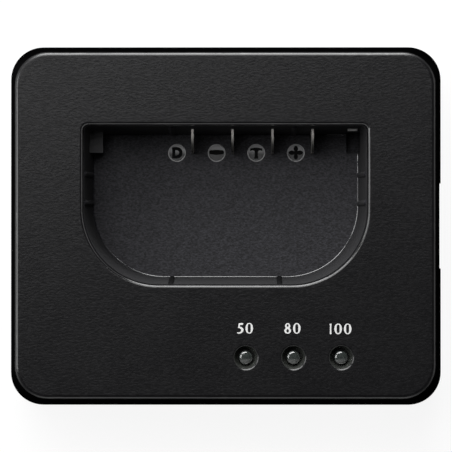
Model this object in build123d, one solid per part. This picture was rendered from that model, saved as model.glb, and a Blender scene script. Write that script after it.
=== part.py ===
from build123d import *
import os
from math import radians, tan

# Battery charger for a camera battery, standing on its feet.
# +X is to the right, +Y to the back where the contacts are, +Z up; millimetres.

# Battery pocket, measured at its rim
POCKET_WIDTH = 63.2
POCKET_LENGTH = 35.55
POCKET_DEPTH = 17.0
POCKET_DRAFT = 5.2
POCKET_FRONT_RADIUS = 16.9
POCKET_BACK_RADIUS = 1.2
POCKET_WALL = 1.8
POCKET_FLOOR = 2.0
RIM_FILLET = 0.7
FLOOR_FILLET = 0.4

# Top face around the pocket
SIDE_ROOM = 15.0
BACK_ROOM = 16.07
FRONT_ROOM = 25.18

# Case
WALL = 2.0
TOP_WALL = 2.0
SHELL_FLOOR = 2.0
CORNER_RADIUS = 7.4
UPPER_DRAFT = 6.6
LOWER_DRAFT = 4.0
TOP_FILLET = 1.0
BOTTOM_FILLET = 1.6
LIP_DROP = 1.5
SEAM_GROOVE = 0.45
FIT = 0.1

# Height stack inside the case
FOOT_HEIGHT = 1.0
BOARD_GAP = 3.0
BOARD_THICKNESS = 1.6
PART_ROOM = 5.4

# Case screws and their bosses
SCREW_DIAMETER = 2.6
SCREW_HEAD_DIAMETER = 4.6
SCREW_HEAD_HEIGHT = 1.8
SCREW_BITE = 7.0
SCREW_HEAD_DEPTH = 2.2
SCREW_CLEARANCE = 0.4
SCREW_HEAD_CLEARANCE = 0.6
SCREW_PILOT_SPARE = 1.0
SCREW_CROSS_LENGTH = 2.6
SCREW_CROSS_WIDTH = 0.7
SCREW_CROSS_DEPTH = 1.0
BOSS_DIAMETER = 6.4
BOSS_INSET = 8.2

# Rubber feet
FOOT_DIAMETER = 9.0
FOOT_RECESS = 0.6
FOOT_SPACING = 10.0

# Circuit board and its standoffs
BOARD_EDGE_GAP = 0.5
BOARD_NOTCH_GAP = 0.8
STANDOFF_DIAMETER = 5.0
STANDOFF_INSET = (4.3, 12.6)
BOARD_SCREW_DIAMETER = 2.2
BOARD_SCREW_HEAD_DIAMETER = 4.2
BOARD_SCREW_HEAD_HEIGHT = 1.4
BOARD_SCREW_DEPTH = 2.4
BOARD_SCREW_CLEARANCE = 0.3
TAIL_LENGTH = 1.2
TAIL_WIDTH = 1.2

# Blade contacts
CONTACT_NAMES = ("contact_data", "contact_minus", "contact_temperature", "contact_plus")
CONTACT_PITCH = 8.98
CONTACT_MIDDLE_X = 6.1
BLADE_THICKNESS = 0.5
BLADE_HEIGHT = 9.3
BLADE_REACH = 4.4
BLADE_SEAT = 0.2
BLADE_NOSE_RADIUS = 2.0
CARRIER_RIM = 1.6
MARK_DIAMETER = 4.1
MARK_FLOOR_DIAMETER = 3.7
MARK_DEPTH = 0.3
MARK_OFFSET = 3.67
MARK_FROM_WALL = 4.25

# Key post and keyway in the back corners of the pocket
KEY_WIDTH = 2.5
KEY_LENGTH = 4.4
KEY_HEIGHT = 5.8
KEYWAY_WIDTH = 2.7
KEYWAY_DEPTH = 2.4
KEYWAY_HEIGHT = 7.0
KEYWAY_RELIEF = 0.3
KEYWAY_WALL = 1.2
STOP_WIDTH = 2.2
STOP_HEIGHT = 9.5
STOP_PROUD = 0.5

# Crush ribs that centre the battery
RIB_RADIUS = 0.8
RIB_PROUD = 0.35
RIB_HEIGHT = 13.0
FRONT_RIB_X = 12.1
SIDE_RIB_FROM_BACK = (10.9, 17.3)
BACK_RIB_X = (-12.1, 15.4)

# Charge lamps
LED_NAMES = ("led_50", "led_80", "led_100")
LED_PITCH = 10.56
LED_MIDDLE_X = 15.12
LED_FROM_FRONT = 9.13
LED_DIAMETER = 3.0
LED_HEIGHT = 5.3
LED_FLANGE_DIAMETER = 3.8
LED_FLANGE_HEIGHT = 1.0
LED_SET = 0.4
LED_LEAD_WIDTH = 0.5
LED_LEAD_SPACING = 2.54
LED_CLEARANCE = 0.3
WELL_DIAMETER = 5.2
WELL_FLOOR_DIAMETER = 3.5
WELL_DEPTH = 2.6
WELL_RIM = 0.5
COLLAR_WALL = 1.2
COLLAR_FLOOR = 1.0
HOLDER_WIDTH = 4.4
HOLDER_BAR_HEIGHT = 3.0

# Mains inlet
INLET_WIDTH = 19.1
INLET_HEIGHT = 10.0
INLET_INSET = 0.48
INLET_BACK_GAP = 0.8
INLET_EDGE = 0.6
SOCKET_LOBE_DIAMETER = 7.8
SOCKET_WAIST = 6.0
SOCKET_DEPTH = 11.0
PIN_DIAMETER = 2.4
PIN_SPACING = 8.6
PIN_TIP_DEPTH = 2.5

# Mains side parts on the board
FUSE_SIZE = (4.0, 8.4, 7.7)
X_CAPACITOR_SIZE = (10.0, 6.5, 11.0)
X_CAPACITOR_X = 7.0
LINE_CHOKE_SIZE = (13.0, 3.6, 11.0)
LINE_CHOKE_LEG = 3.2
LINE_CHOKE_X = 23.0
WINDING_DEPTH = 1.4
WINDING_CLEARANCE = 0.1
BRIDGE_SIZE = (8.4, 6.4, 3.2)
BRIDGE_PLACE = (22.0, -4.0)
BULK_CAPACITOR_DIAMETER = 8.0
BULK_CAPACITOR_HEIGHT = 18.0

# Converter parts
CONTROLLER_SIZE = (9.6, 6.4, 3.4)
CONTROLLER_PLACE = (7.0, -4.0)
TRANSFORMER_CORE_SIZE = (18.0, 5.0, 15.0)
TRANSFORMER_LEG = 2.5
TRANSFORMER_INSET = 10.0
TRANSFORMER_RAIL_HEIGHT = 3.0
BOBBIN_WALL = 0.6
BOBBIN_RAIL_REACH = 1.3
COIL_INSET = 0.2
Y_CAPACITOR_DIAMETER = 8.0
Y_CAPACITOR_THICKNESS = 3.5
Y_CAPACITOR_X = -6.0
OPTOCOUPLER_SIZE = (4.6, 6.4, 3.4)
OPTOCOUPLER_PLACE = (-6.0, -4.0)

# Charging side parts
DIODE_DIAMETER = 5.0
DIODE_LENGTH = 9.0
DIODE_Y = -11.0
OUTPUT_CAPACITOR_DIAMETER = 8.0
OUTPUT_CAPACITOR_HEIGHT = 11.5
OUTPUT_CAPACITOR_YS = (0.5, 10.0)
CAPACITOR_EDGE = 0.7
OUTPUT_CHOKE_DIAMETER = 9.0
OUTPUT_CHOKE_HEIGHT = 9.0
OUTPUT_CHOKE_FLANGE = 1.2
OUTPUT_CHOKE_NECK = 4.0
OUTPUT_CHOKE_SUNK = 0.4
OUTPUT_CHOKE_X = -23.0
CHARGE_CONTROLLER_SIZE = (7.0, 7.0, 1.4)
CHARGE_CONTROLLER_PLACE = (-20.0, 4.0)
CHIP_SIZE = (2.0, 1.25, 0.6)
CHIP_PITCH = 3.0
CHIP_COLUMNS = 6
CHIP_ROW_OFFSET = 6.0

# Heights worked out from the stack
base_z = FOOT_HEIGHT
inside_floor_z = base_z + SHELL_FLOOR
board_z = inside_floor_z + BOARD_GAP
board_top_z = board_z + BOARD_THICKNESS
seam_z = board_top_z + PART_ROOM
pocket_floor_z = seam_z + POCKET_FLOOR
top_z = pocket_floor_z + POCKET_DEPTH
ceiling_z = top_z - TOP_WALL


def upper_inset(height):
    """How far the upper walls lean in over a height."""
    return height * tan(radians(UPPER_DRAFT))


def pocket_inset(height):
    """How far the pocket walls lean in over a height."""
    return height * tan(radians(POCKET_DRAFT))


def lower_inset(height):
    """How far the lower walls lean in over a height."""
    return height * tan(radians(LOWER_DRAFT))


# Plan sizes worked out from the pocket and the room around it
top_width = POCKET_WIDTH + 2 * SIDE_ROOM
top_length = POCKET_LENGTH + BACK_ROOM + FRONT_ROOM
seam_width = top_width + 2 * upper_inset(top_z - seam_z)
seam_length = top_length + 2 * upper_inset(top_z - seam_z)
pocket_y = (FRONT_ROOM - BACK_ROOM) / 2
pocket_back_y = pocket_y + POCKET_LENGTH / 2
pocket_front_y = pocket_y - POCKET_LENGTH / 2
floor_inset = pocket_inset(POCKET_DEPTH)
floor_back_y = pocket_back_y - floor_inset
floor_front_y = pocket_front_y + floor_inset
floor_side_x = POCKET_WIDTH / 2 - floor_inset
boss_x = seam_width / 2 - BOSS_INSET
boss_y = seam_length / 2 - BOSS_INSET
bosses = [(x, y) for x in (-boss_x, boss_x) for y in (-boss_y, boss_y)]
board_width = seam_width - 2 * (lower_inset(seam_z - board_z) + WALL + BOARD_EDGE_GAP)
board_length = seam_length - 2 * (lower_inset(seam_z - board_z) + WALL + BOARD_EDGE_GAP)
standoff_x = board_width / 2 - STANDOFF_INSET[0]
standoff_y = board_length / 2 - STANDOFF_INSET[1]
standoffs = [(x, y) for x in (-standoff_x, standoff_x) for y in (-standoff_y, standoff_y)]

# Middles of the free strips on the board beside the pocket
side_strip_x = POCKET_WIDTH / 2 + (SIDE_ROOM + POCKET_WALL - WALL) / 2
back_strip_y = pocket_back_y + (BACK_ROOM + POCKET_WALL - WALL) / 2
front_strip_y = pocket_front_y - (FRONT_ROOM + POCKET_WALL - WALL) / 2

# Contact places
contact_xs = [CONTACT_MIDDLE_X + CONTACT_PITCH * (i - 1.5) for i in range(len(CONTACT_NAMES))]
blade_front_y = floor_back_y - BLADE_REACH
blade_back_y = floor_back_y + pocket_inset(BLADE_HEIGHT) + BLADE_SEAT
blade_top_z = pocket_floor_z + BLADE_HEIGHT
mark_y = floor_back_y - MARK_FROM_WALL

# Lamp places
led_xs = [LED_MIDDLE_X + LED_PITCH * (i - 1) for i in range(len(LED_NAMES))]
led_y = LED_FROM_FRONT - top_length / 2
led_top_z = top_z - LED_SET
led_base_z = led_top_z - LED_HEIGHT
lead_xs = [x + side * LED_LEAD_SPACING / 2 for x in led_xs for side in (-1, 1)]

# Inlet places
inlet_face_x = seam_width / 2 - INLET_INSET
inlet_back_x = floor_side_x + pocket_inset(INLET_HEIGHT) + POCKET_WALL + INLET_BACK_GAP
inlet_z = board_top_z + INLET_HEIGHT / 2
socket_back_x = inlet_face_x - SOCKET_DEPTH
pin_tail_x = (inlet_back_x + socket_back_x) / 2
pin_ys = (-PIN_SPACING / 2, PIN_SPACING / 2)


def block(x, y, z, size):
    """Box with its middle over (x, y) and its underside at z."""
    return Pos(x, y, z) * Box(*size, align=(Align.CENTER, Align.CENTER, Align.MIN))


def span(x, y, z):
    """Box between two limits on each axis."""
    size = (x[1] - x[0], y[1] - y[0], z[1] - z[0])
    return Pos((x[0] + x[1]) / 2, (y[0] + y[1]) / 2, (z[0] + z[1]) / 2) * Box(*size)


def post(x, y, z, diameter, height):
    """Upright cylinder standing at z."""
    upright = (Align.CENTER, Align.CENTER, Align.MIN)
    return Pos(x, y, z) * Cylinder(diameter / 2, height, align=upright)


def joined(solids):
    """Several solids as one shape."""
    return Part() + solids


def case_outline(inset, z):
    """Plan outline of the case at the seam, moved in by an inset."""
    size = (seam_width - 2 * inset, seam_length - 2 * inset)
    return Pos(0, 0, z) * RectangleRounded(*size, CORNER_RADIUS - inset)


def upper_outline(inset, z):
    """Plan outline of the upper case at a height, moved in by an inset."""
    in_all = inset + upper_inset(z - seam_z)
    size = (seam_width - 2 * in_all, seam_length - 2 * in_all)
    return Pos(0, 0, z) * RectangleRounded(*size, CORNER_RADIUS - inset)


def upper_body(inset, high_z):
    """Drafted body of the upper case from the seam, its corner radius the same all the way up."""
    return loft([upper_outline(inset, seam_z), upper_outline(inset, high_z)], ruled=True)


def pocket_outline(grow, z):
    """D-shaped plan outline of the pocket at a height, moved out by grow."""
    lean = pocket_inset(top_z - z)
    size = (POCKET_WIDTH - 2 * lean + 2 * grow, POCKET_LENGTH - 2 * lean + 2 * grow)
    outline = Rectangle(*size)
    front_corners = outline.vertices().sort_by(Axis.Y)[:2]
    outline = fillet(front_corners, POCKET_FRONT_RADIUS + grow - lean / 2)
    back_corners = outline.vertices().sort_by(Axis.Y)[-2:]
    outline = fillet(back_corners, POCKET_BACK_RADIUS + grow)
    return Pos(0, pocket_y, z) * outline


def pocket_body(grow, low_z, high_z):
    """Drafted body of the pocket's outline between two heights."""
    return loft([pocket_outline(grow, low_z), pocket_outline(grow, high_z)], ruled=True)


def crush_rib(x, y, lean_x, lean_y):
    """Round rib up a pocket wall from (x, y) on the floor, leaning with the draft."""
    sunk = RIB_RADIUS - RIB_PROUD
    rise = pocket_inset(RIB_HEIGHT)
    foot = Vector(x + lean_x * sunk, y + lean_y * sunk, pocket_floor_z)
    head = foot + Vector(lean_x * rise, lean_y * rise, RIB_HEIGHT)
    along = Plane(foot, z_dir=head - foot)
    upright = (Align.CENTER, Align.CENTER, Align.MIN)
    column = along * Cylinder(RIB_RADIUS, (head - foot).length, align=upright)
    return column + Pos(*head) * Sphere(RIB_RADIUS)


def crush_ribs():
    """All ribs, cut off level with the pocket floor."""
    ribs = [crush_rib(x, floor_front_y, 0, -1) for x in (-FRONT_RIB_X, FRONT_RIB_X)]
    ribs += [crush_rib(x, floor_back_y, 0, 1) for x in BACK_RIB_X]
    for back in SIDE_RIB_FROM_BACK:
        ribs += [crush_rib(side * floor_side_x, pocket_back_y - back, side, 0) for side in (-1, 1)]
    return joined(ribs) & pocket_body(POCKET_WALL - FIT, pocket_floor_z, top_z)


def key_post():
    """Block in the back left corner that keys the battery."""
    body = span(
        (-POCKET_WIDTH, KEY_WIDTH - floor_side_x),
        (floor_back_y - KEY_LENGTH, pocket_back_y + POCKET_WALL),
        (pocket_floor_z, pocket_floor_z + KEY_HEIGHT),
    )
    return body & pocket_body(POCKET_WALL / 2, pocket_floor_z, top_z)


def key_stop():
    """Small rib on the back wall above the keyway."""
    x = floor_side_x - KEYWAY_WIDTH + STOP_WIDTH / 2
    wall_y = floor_back_y + pocket_inset(STOP_HEIGHT)
    body = span(
        (x - STOP_WIDTH / 2, x + STOP_WIDTH / 2),
        (wall_y - STOP_PROUD, wall_y + POCKET_WALL / 2),
        (pocket_floor_z + KEYWAY_HEIGHT, pocket_floor_z + STOP_HEIGHT),
    )
    return body & pocket_body(POCKET_WALL / 2, pocket_floor_z, top_z)


def keyway(grow):
    """Sunk slot in the back right corner, moved out by grow below the floor."""
    return span(
        (floor_side_x - KEYWAY_WIDTH - grow, floor_side_x + KEYWAY_RELIEF + grow),
        (floor_back_y - KEY_LENGTH - grow, floor_back_y + KEYWAY_RELIEF + grow),
        (pocket_floor_z - KEYWAY_DEPTH - grow, pocket_floor_z + KEYWAY_HEIGHT),
    )


def keyway_well():
    """Wall around the keyway under the pocket floor."""
    below = span(
        (0, POCKET_WIDTH),
        (0, seam_length),
        (board_top_z, pocket_floor_z),
    )
    return keyway(KEYWAY_WALL) & below


def lamp_collars():
    """Cups under the top wall around the lamp wells."""
    diameter = WELL_DIAMETER + 2 * COLLAR_WALL
    height = WELL_DEPTH + COLLAR_FLOOR - TOP_WALL / 2
    low_z = top_z - WELL_DEPTH - COLLAR_FLOOR
    return joined([post(x, led_y, low_z, diameter, height) for x in led_xs])


def lamp_well(x):
    """Tapered round well with a hole for the lamp in its floor."""
    taper = Cone(WELL_FLOOR_DIAMETER / 2, WELL_DIAMETER / 2, WELL_DEPTH)
    low_z = top_z - WELL_DEPTH - COLLAR_FLOOR
    hole = post(x, led_y, low_z, LED_DIAMETER + LED_CLEARANCE, COLLAR_FLOOR)
    return Pos(x, led_y, top_z - WELL_DEPTH / 2) * taper + hole


def blade_slots():
    """Slots in the pocket floor and grooves in its back wall for the blades."""
    half = BLADE_THICKNESS / 2 + FIT
    y_limits = (blade_front_y - FIT, blade_back_y + FIT)
    z_limits = (seam_z - FIT, blade_top_z + FIT)
    return joined([span((x - half, x + half), y_limits, z_limits) for x in contact_xs])


def mark_recesses():
    """Round shallow recesses with sloping sides, beside the blades, for the terminal marks."""
    recess = Cone(MARK_FLOOR_DIAMETER / 2, MARK_DIAMETER / 2, MARK_DEPTH)
    z = pocket_floor_z - MARK_DEPTH / 2
    return joined([Pos(x - MARK_OFFSET, mark_y, z) * recess for x in contact_xs])


def inlet_bay():
    """Opening through the side walls around the inlet."""
    half = INLET_WIDTH / 2 + FIT
    return span(
        (inlet_back_x, seam_width),
        (-half, half),
        (board_top_z - FIT, board_top_z + INLET_HEIGHT + FIT),
    )


def seam_lip():
    """Tongue under the upper wall that locates the lower shell."""
    low_z = seam_z - LIP_DROP
    outside = extrude(case_outline(WALL / 2 + FIT, low_z), LIP_DROP)
    return outside - extrude(case_outline(WALL, low_z), LIP_DROP)


def upper_shell():
    """Top moulding with the pocket, wells, ribs, bosses and lip."""
    outside = upper_body(0, top_z)
    outside = fillet(outside.edges().group_by(Axis.Z)[-1], TOP_FILLET)
    cavity = upper_body(WALL, ceiling_z) - pocket_body(POCKET_WALL, seam_z, top_z)
    pocket = pocket_body(0, pocket_floor_z, top_z)
    pocket = fillet(pocket.edges().group_by(Axis.Z)[0], FLOOR_FILLET)
    shell = outside - cavity - pocket
    rim = [e for e in shell.edges().group_by(Axis.Z)[-1] if e.center().length < top_length / 2]
    shell = fillet(rim, RIM_FILLET)
    shell += crush_ribs() + key_post() + keyway_well() + seam_lip() + lamp_collars()
    for x, y in bosses:
        shell += post(x, y, seam_z + FIT, BOSS_DIAMETER, ceiling_z - seam_z)
    for x, y in bosses:
        shell -= post(x, y, seam_z, SCREW_DIAMETER + FIT, SCREW_BITE + SCREW_PILOT_SPARE)
    for x in led_xs:
        shell -= lamp_well(x)
    well_rims = shell.edges().group_by(Axis.Z)[-1].filter_by(lambda edge: edge.is_closed)
    shell = fillet(well_rims, WELL_RIM)
    shell = shell - keyway(0) - blade_slots() - mark_recesses() - inlet_bay()
    return shell + key_stop()


def lower_outline(inset, z):
    """Plan outline of the lower case at a height, moved in by an inset."""
    return case_outline(inset + lower_inset(seam_z - z), z)


def lower_shell():
    """Bottom moulding with bosses, standoffs, foot recesses and the lip's rebate."""
    outside = extrude(lower_outline(0, base_z), seam_z - base_z, taper=-LOWER_DRAFT)
    outside = fillet(outside.edges().group_by(Axis.Z)[0], BOTTOM_FILLET)
    cavity_height = seam_z - inside_floor_z
    cavity = extrude(lower_outline(WALL, inside_floor_z), cavity_height, taper=-LOWER_DRAFT)
    shell = outside - cavity
    for x, y in bosses:
        shell += post(x, y, inside_floor_z, BOSS_DIAMETER, cavity_height)
    for x, y in standoffs:
        shell += post(x, y, inside_floor_z, STANDOFF_DIAMETER, BOARD_GAP)
    head_z = base_z + SCREW_HEAD_DEPTH + SCREW_HEAD_HEIGHT
    for x, y in bosses:
        shell -= post(x, y, base_z, SCREW_HEAD_DIAMETER + SCREW_HEAD_CLEARANCE, head_z - base_z)
        shell -= post(x, y, base_z, SCREW_DIAMETER + SCREW_CLEARANCE, seam_z)
    for x, y in standoffs:
        hole_z = board_z - BOARD_SCREW_DEPTH - FIT
        shell -= post(x, y, hole_z, BOARD_SCREW_DIAMETER + FIT, BOARD_GAP)
    for x, y in feet().values():
        shell -= post(x, y, base_z, FOOT_DIAMETER + 2 * FIT, FOOT_RECESS)
    rebate_z = seam_z - LIP_DROP - FIT
    shell -= extrude(case_outline(WALL / 2, rebate_z), LIP_DROP + FIT)
    groove_z = seam_z - SEAM_GROOVE
    groove = extrude(case_outline(-SEAM_GROOVE, groove_z), SEAM_GROOVE)
    shell -= groove - extrude(case_outline(SEAM_GROOVE, groove_z), SEAM_GROOVE)
    return shell - inlet_bay()


def feet():
    """Name and place of each foot, inboard of the case screws."""
    foot_x = boss_x - FOOT_SPACING
    sides = (("left", -foot_x), ("right", foot_x))
    ends = (("back", boss_y), ("front", -boss_y))
    return {f"foot_{end}_{side}": (x, y) for end, y in ends for side, x in sides}


def foot(x, y):
    """Rubber foot with a softened bottom edge."""
    body = post(x, y, 0, FOOT_DIAMETER, FOOT_HEIGHT + FOOT_RECESS)
    return chamfer(body.edges().group_by(Axis.Z)[0], FOOT_HEIGHT / 3)


def case_screw(x, y):
    """Pan-head screw pointing up, with a cross recess."""
    head_z = base_z + SCREW_HEAD_DEPTH
    head = post(x, y, head_z, SCREW_HEAD_DIAMETER, SCREW_HEAD_HEIGHT)
    head = chamfer(head.edges().group_by(Axis.Z)[0], SCREW_HEAD_HEIGHT / 4)
    head -= block(x, y, head_z, (SCREW_CROSS_LENGTH, SCREW_CROSS_WIDTH, SCREW_CROSS_DEPTH))
    head -= block(x, y, head_z, (SCREW_CROSS_WIDTH, SCREW_CROSS_LENGTH, SCREW_CROSS_DEPTH))
    shank_z = head_z + SCREW_HEAD_HEIGHT
    return head + post(x, y, shank_z, SCREW_DIAMETER, seam_z + SCREW_BITE - shank_z)


def board_screw(x, y):
    """Pan-head screw pointing down through the board."""
    head = post(x, y, board_top_z, BOARD_SCREW_HEAD_DIAMETER, BOARD_SCREW_HEAD_HEIGHT)
    length = BOARD_THICKNESS + BOARD_SCREW_DEPTH
    return head + post(x, y, board_top_z - length, BOARD_SCREW_DIAMETER, length)


def main_board():
    """Circuit board with notches for the bosses and holes for screws and tails."""
    board = block(0, 0, board_z, (board_width, board_length, BOARD_THICKNESS))
    notch = BOSS_DIAMETER / 2 + BOARD_NOTCH_GAP
    for x, y in bosses:
        notch_x = (x - notch, board_width) if x > 0 else (-board_width, x + notch)
        notch_y = (y - notch, board_length) if y > 0 else (-board_length, y + notch)
        board -= span(notch_x, notch_y, (board_z, board_top_z))
    for x, y in standoffs:
        hole_diameter = BOARD_SCREW_DIAMETER + BOARD_SCREW_CLEARANCE
        board -= post(x, y, board_z, hole_diameter, BOARD_THICKNESS)
    tail_hole = (TAIL_WIDTH + 2 * FIT, TAIL_WIDTH + 2 * FIT, BOARD_THICKNESS)
    for x in contact_xs:
        board -= block(x, (blade_front_y + blade_back_y) / 2, board_z, tail_hole)
    for y in pin_ys:
        board -= block(pin_tail_x, y, board_z, tail_hole)
    lead_hole = (LED_LEAD_WIDTH + 2 * FIT, LED_LEAD_WIDTH + 2 * FIT, BOARD_THICKNESS)
    for x in lead_xs:
        board -= block(x, led_y, board_z, lead_hole)
    return board


def contact(x):
    """Blade that stands on the board and rises through the pocket floor."""
    middle_y = (blade_front_y + blade_back_y) / 2
    blade = span(
        (x - BLADE_THICKNESS / 2, x + BLADE_THICKNESS / 2),
        (blade_front_y, blade_back_y),
        (board_top_z, blade_top_z),
    )
    nose = blade.edges().filter_by(Axis.X).group_by(Axis.Z)[-1].sort_by(Axis.Y)[0]
    blade = fillet(nose, BLADE_NOSE_RADIUS)
    tail_z = board_z - TAIL_LENGTH
    return blade + block(x, middle_y, tail_z, (BLADE_THICKNESS, TAIL_WIDTH, board_top_z - tail_z))


def contact_carrier():
    """Block on the board, slotted for the four blades."""
    body = span(
        (contact_xs[0] - CARRIER_RIM, contact_xs[-1] + CARRIER_RIM),
        (blade_front_y - CARRIER_RIM, blade_back_y + CARRIER_RIM),
        (board_top_z, seam_z - FIT),
    )
    half = BLADE_THICKNESS / 2 + FIT
    for x in contact_xs:
        y_limits = (blade_front_y - FIT, blade_back_y + FIT)
        body -= span((x - half, x + half), y_limits, (board_top_z, seam_z))
    return body


def led(x):
    """Domed lamp with a flange at its base."""
    radius = LED_DIAMETER / 2
    flange = post(x, led_y, led_base_z, LED_FLANGE_DIAMETER, LED_FLANGE_HEIGHT)
    body = post(x, led_y, led_base_z, LED_DIAMETER, LED_HEIGHT - radius)
    return flange + body + Pos(x, led_y, led_top_z - radius) * Sphere(radius)


def led_leads():
    """Two square leads under each lamp, down through the board."""
    low_z = board_z - TAIL_LENGTH
    size = (LED_LEAD_WIDTH, LED_LEAD_WIDTH, led_base_z - low_z)
    return joined([block(x, led_y, low_z, size) for x in lead_xs])


def led_holder():
    """Comb of posts on the board that carries the lamps at the top wall."""
    bar = span(
        (led_xs[0] - HOLDER_WIDTH / 2, led_xs[-1] + HOLDER_WIDTH / 2),
        (led_y - HOLDER_WIDTH / 2, led_y + HOLDER_WIDTH / 2),
        (board_top_z, board_top_z + HOLDER_BAR_HEIGHT),
    )
    height = led_base_z - board_top_z
    for x in led_xs:
        bar += block(x, led_y, board_top_z, (HOLDER_WIDTH, HOLDER_WIDTH, height))
    lead_hole = (LED_LEAD_WIDTH + 2 * FIT, LED_LEAD_WIDTH + 2 * FIT, height)
    for x in lead_xs:
        bar -= block(x, led_y, board_top_z, lead_hole)
    return bar


def socket_outline():
    """Figure-eight outline of the inlet's socket."""
    lobes = [Pos(y, 0) * Circle(SOCKET_LOBE_DIAMETER / 2) for y in pin_ys]
    return Sketch() + lobes + Rectangle(PIN_SPACING, SOCKET_WAIST)


def inlet_housing():
    """Socket body on the board, open to the right side of the case."""
    body = span(
        (inlet_back_x, inlet_face_x),
        (-INLET_WIDTH / 2, INLET_WIDTH / 2),
        (board_top_z, board_top_z + INLET_HEIGHT),
    )
    body = chamfer(body.edges().group_by(Axis.X)[-1].filter_by(Axis.Y), INLET_EDGE)
    face = Plane((inlet_face_x, 0, inlet_z), x_dir=(0, 1, 0), z_dir=(1, 0, 0))
    body -= extrude(face * socket_outline(), -SOCKET_DEPTH)
    for y in pin_ys:
        body -= pin(y, FIT)
    return body


def pin(y, grow):
    """Mains pin with a tail down through the board, moved out by grow."""
    tip_x = inlet_face_x - PIN_TIP_DEPTH
    root_x = pin_tail_x - TAIL_WIDTH / 2
    rod = Pos((tip_x + root_x) / 2, y, inlet_z) * Rot(0, 90, 0) * Cylinder(
        PIN_DIAMETER / 2 + grow, tip_x - root_x + 2 * grow
    )
    low_z = board_z - TAIL_LENGTH
    width = TAIL_WIDTH + 2 * grow
    return rod + block(pin_tail_x, y, low_z, (width, width, inlet_z - low_z))


def moulded(x, y, size):
    """Moulded component body on the board with its top edges bevelled."""
    body = block(x, y, board_top_z, size)
    return chamfer(body.edges().group_by(Axis.Z)[-1], min(size) / 10)


def can(x, y, diameter, height):
    """Upright electrolytic capacitor with a bevelled top edge."""
    body = post(x, y, board_top_z, diameter, height)
    return chamfer(body.edges().group_by(Axis.Z)[-1], CAPACITOR_EDGE)


def rectangular_ring(x, y, z, hole, depth, height):
    """Upright rectangular tube of a given wall depth around a hole."""
    outside = block(x, y, z, (hole[0] + 2 * depth, hole[1] + 2 * depth, height))
    return outside - block(x, y, z, (hole[0], hole[1], height))


def line_choke_core():
    """Square ferrite ring standing on the board."""
    width, depth, height = LINE_CHOKE_SIZE
    window = (width - 2 * LINE_CHOKE_LEG, depth, height - 2 * LINE_CHOKE_LEG)
    ring = block(LINE_CHOKE_X, back_strip_y, board_top_z, LINE_CHOKE_SIZE)
    return ring - block(LINE_CHOKE_X, back_strip_y, board_top_z + LINE_CHOKE_LEG, window)


def line_choke_winding():
    """One coil around each upright leg of the ring."""
    width, depth, height = LINE_CHOKE_SIZE
    hole = (LINE_CHOKE_LEG + 2 * WINDING_CLEARANCE, depth + 2 * WINDING_CLEARANCE)
    z = board_top_z + LINE_CHOKE_LEG + WINDING_CLEARANCE
    tall = height - 2 * LINE_CHOKE_LEG - 2 * WINDING_CLEARANCE
    reach = (width - LINE_CHOKE_LEG) / 2
    xs = (LINE_CHOKE_X - reach, LINE_CHOKE_X + reach)
    return joined([rectangular_ring(x, back_strip_y, z, hole, WINDING_DEPTH, tall) for x in xs])


transformer_x = TRANSFORMER_INSET - POCKET_WIDTH / 2
transformer_window = TRANSFORMER_CORE_SIZE[2] - 2 * TRANSFORMER_LEG
transformer_core_z = board_top_z + TRANSFORMER_RAIL_HEIGHT - TRANSFORMER_LEG
centre_leg = (2 * TRANSFORMER_LEG, TRANSFORMER_CORE_SIZE[1])
slot_width = (TRANSFORMER_CORE_SIZE[0] - 4 * TRANSFORMER_LEG) / 2
tube_hole = [side + 2 * FIT for side in centre_leg]
coil_hole = [side + 2 * BOBBIN_WALL + 2 * WINDING_CLEARANCE for side in tube_hole]
flange_depth = slot_width - 2 * FIT
coil_depth = flange_depth - BOBBIN_WALL - WINDING_CLEARANCE - COIL_INSET


def transformer_core():
    """Ferrite core of two joined E halves."""
    core = block(transformer_x, front_strip_y, transformer_core_z, TRANSFORMER_CORE_SIZE)
    slot = (slot_width, TRANSFORMER_CORE_SIZE[1], transformer_window)
    reach = TRANSFORMER_LEG + slot_width / 2
    for x in (transformer_x - reach, transformer_x + reach):
        core -= block(x, front_strip_y, transformer_core_z + TRANSFORMER_LEG, slot)
    return core


def transformer_bobbin():
    """Tube around the middle leg, with flanges and two rails on the board."""
    low_z = transformer_core_z + TRANSFORMER_LEG + FIT
    tall = transformer_window - 2 * FIT
    bobbin = rectangular_ring(transformer_x, front_strip_y, low_z, tube_hole, BOBBIN_WALL, tall)
    for z in (low_z, low_z + tall - BOBBIN_WALL):
        bobbin += rectangular_ring(
            transformer_x, front_strip_y, z, tube_hole, flange_depth, BOBBIN_WALL
        )
    inner_y = TRANSFORMER_CORE_SIZE[1] / 2 + 2 * FIT
    outer_y = tube_hole[1] / 2 + flange_depth + BOBBIN_RAIL_REACH
    rail_width = tube_hole[0] + 2 * flange_depth
    rail_size = (rail_width, outer_y - inner_y, low_z - board_top_z)
    for side in (-1, 1):
        rail_y = front_strip_y + side * (inner_y + outer_y) / 2
        bobbin += block(transformer_x, rail_y, board_top_z, rail_size)
    return bobbin


def transformer_winding():
    """Wound wire between the bobbin's flanges."""
    low_z = transformer_core_z + TRANSFORMER_LEG + FIT + BOBBIN_WALL + WINDING_CLEARANCE
    tall = transformer_window - 2 * (FIT + BOBBIN_WALL + WINDING_CLEARANCE)
    return rectangular_ring(transformer_x, front_strip_y, low_z, coil_hole, coil_depth, tall)


def y_capacitor():
    """Ceramic disc standing on its edge."""
    radius = Y_CAPACITOR_DIAMETER / 2
    place = Pos(Y_CAPACITOR_X, back_strip_y, board_top_z + radius)
    return place * Rot(90, 0, 0) * Cylinder(radius, Y_CAPACITOR_THICKNESS)


def output_diode():
    """Axial diode lying on the board."""
    place = Pos(-side_strip_x, DIODE_Y, board_top_z + DIODE_DIAMETER / 2)
    return place * Rot(90, 0, 0) * Cylinder(DIODE_DIAMETER / 2, DIODE_LENGTH)


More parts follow.
